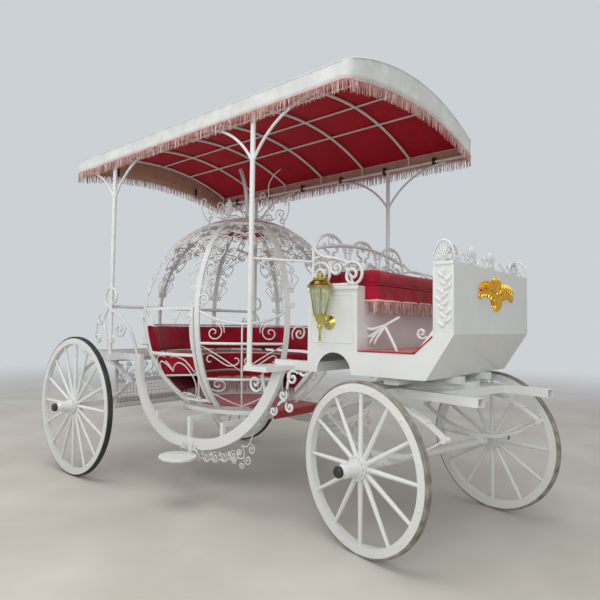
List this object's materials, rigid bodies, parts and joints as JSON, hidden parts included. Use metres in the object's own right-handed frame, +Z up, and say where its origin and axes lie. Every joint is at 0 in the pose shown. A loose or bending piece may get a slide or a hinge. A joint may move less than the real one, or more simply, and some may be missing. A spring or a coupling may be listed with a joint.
{
  "type": "pumpkin carriage",
  "caption": "Horse-drawn round-cage carriage with a driver's box, a fabric canopy on posts, spoked wheels and a steered fore-carriage.",
  "frame": {"origin": "on the ground at the middle of the overall length and width", "axes": "+X forward, +Y to the vehicle's left, +Z up"},
  "size_m": [3.8348, 2.136, 2.772],
  "materials": {
    "white_enamel": "white gloss enamel on steel",
    "tyre_rubber": "solid black rubber",
    "brass": "polished brass",
    "canopy_cloth": "coated white canvas with a red lining and a fringe",
    "red_upholstery": "red upholstery with piping",
    "carpet": "red pile carpet"
  },
  "bodies": {
    "carriage": {"bench_back": "red_upholstery", "bench_base": "white_enamel", "bench_cushion": "red_upholstery", "bolster": "white_enamel", "brake_lever": "white_enamel", "cage_cap": "white_enamel", "cage_floor": "white_enamel", "cage_stem": "white_enamel", "canopy": "canopy_cloth", "canopy_frame": "white_enamel", "carpet": "carpet", "dash_crest": "white_enamel", "driver_box": "white_enamel", "driver_cushion": "red_upholstery", "driver_rail": "white_enamel", "front_chassis": "white_enamel", "hoop_left": "white_enamel", "hoop_right": "white_enamel", "lamp_left": "brass", "lamp_right": "brass", "post_front_left": "white_enamel", "post_front_right": "white_enamel", "post_rear_left": "white_enamel", "post_rear_right": "white_enamel", "quarter_left": "white_enamel", "quarter_right": "white_enamel", "rear_axle": "white_enamel", "rear_frame": "white_enamel", "rear_rail": "white_enamel", "rear_skirt": "white_enamel", "rib_1": "white_enamel", "rib_2": "white_enamel", "rib_3": "white_enamel", "rib_4": "white_enamel", "rib_5": "white_enamel", "rib_6": "white_enamel", "rib_7": "white_enamel", "rib_8": "white_enamel", "spring_rear_left": "white_enamel", "spring_rear_right": "white_enamel", "step_left": "white_enamel", "step_right": "white_enamel"},
    "wheel_body_rear_right": {"wheel_rear_right": "white_enamel", "tyre_rear_right": "tyre_rubber"},
    "wheel_body_rear_left": {"wheel_rear_left": "white_enamel", "tyre_rear_left": "tyre_rubber"},
    "wheel_body_front_right": {"wheel_front_right": "white_enamel", "tyre_front_right": "tyre_rubber"},
    "wheel_body_front_left": {"wheel_front_left": "white_enamel", "tyre_front_left": "tyre_rubber"},
    "fore_carriage": {"fore_frame": "white_enamel", "shaft_socket_right": "white_enamel", "shaft_socket_left": "white_enamel", "turntable_lower": "white_enamel", "front_axle": "white_enamel", "spring_front_right": "white_enamel", "spring_front_left": "white_enamel"},
    "door_body": {"door_right": "white_enamel"}
  },
  "joints": [
    {"name": "steering", "type": "hinge", "parent": "carriage", "child": "fore_carriage", "pos_m": [1.30656, 0, 0.845], "axis": [0, 0, 1], "range_deg": [-22.7, 47.3]},
    {"name": "door_hinge", "type": "hinge", "parent": "carriage", "child": "door_body", "pos_m": [-0.66076, -0.76823, 1.175], "axis": [0, 0, -1], "range_deg": [0, 75]},
    {"name": "spin_rear_right", "type": "hinge", "parent": "carriage", "child": "wheel_body_rear_right", "pos_m": [-1.36744, -0.908, 0.55], "axis": [0, 1, 0], "continuous": true},
    {"name": "spin_front_right", "type": "hinge", "parent": "fore_carriage", "child": "wheel_body_front_right", "pos_m": [1.17384, -0.6087, 0.459], "axis": [0.213, 0.977, 0], "continuous": true},
    {"name": "spin_rear_left", "type": "hinge", "parent": "carriage", "child": "wheel_body_rear_left", "pos_m": [-1.36744, 0.908, 0.55], "axis": [0, 1, 0], "continuous": true},
    {"name": "spin_front_left", "type": "hinge", "parent": "fore_carriage", "child": "wheel_body_front_left", "pos_m": [1.43928, 0.6087, 0.459], "axis": [0.213, 0.977, 0], "continuous": true}
  ]
}
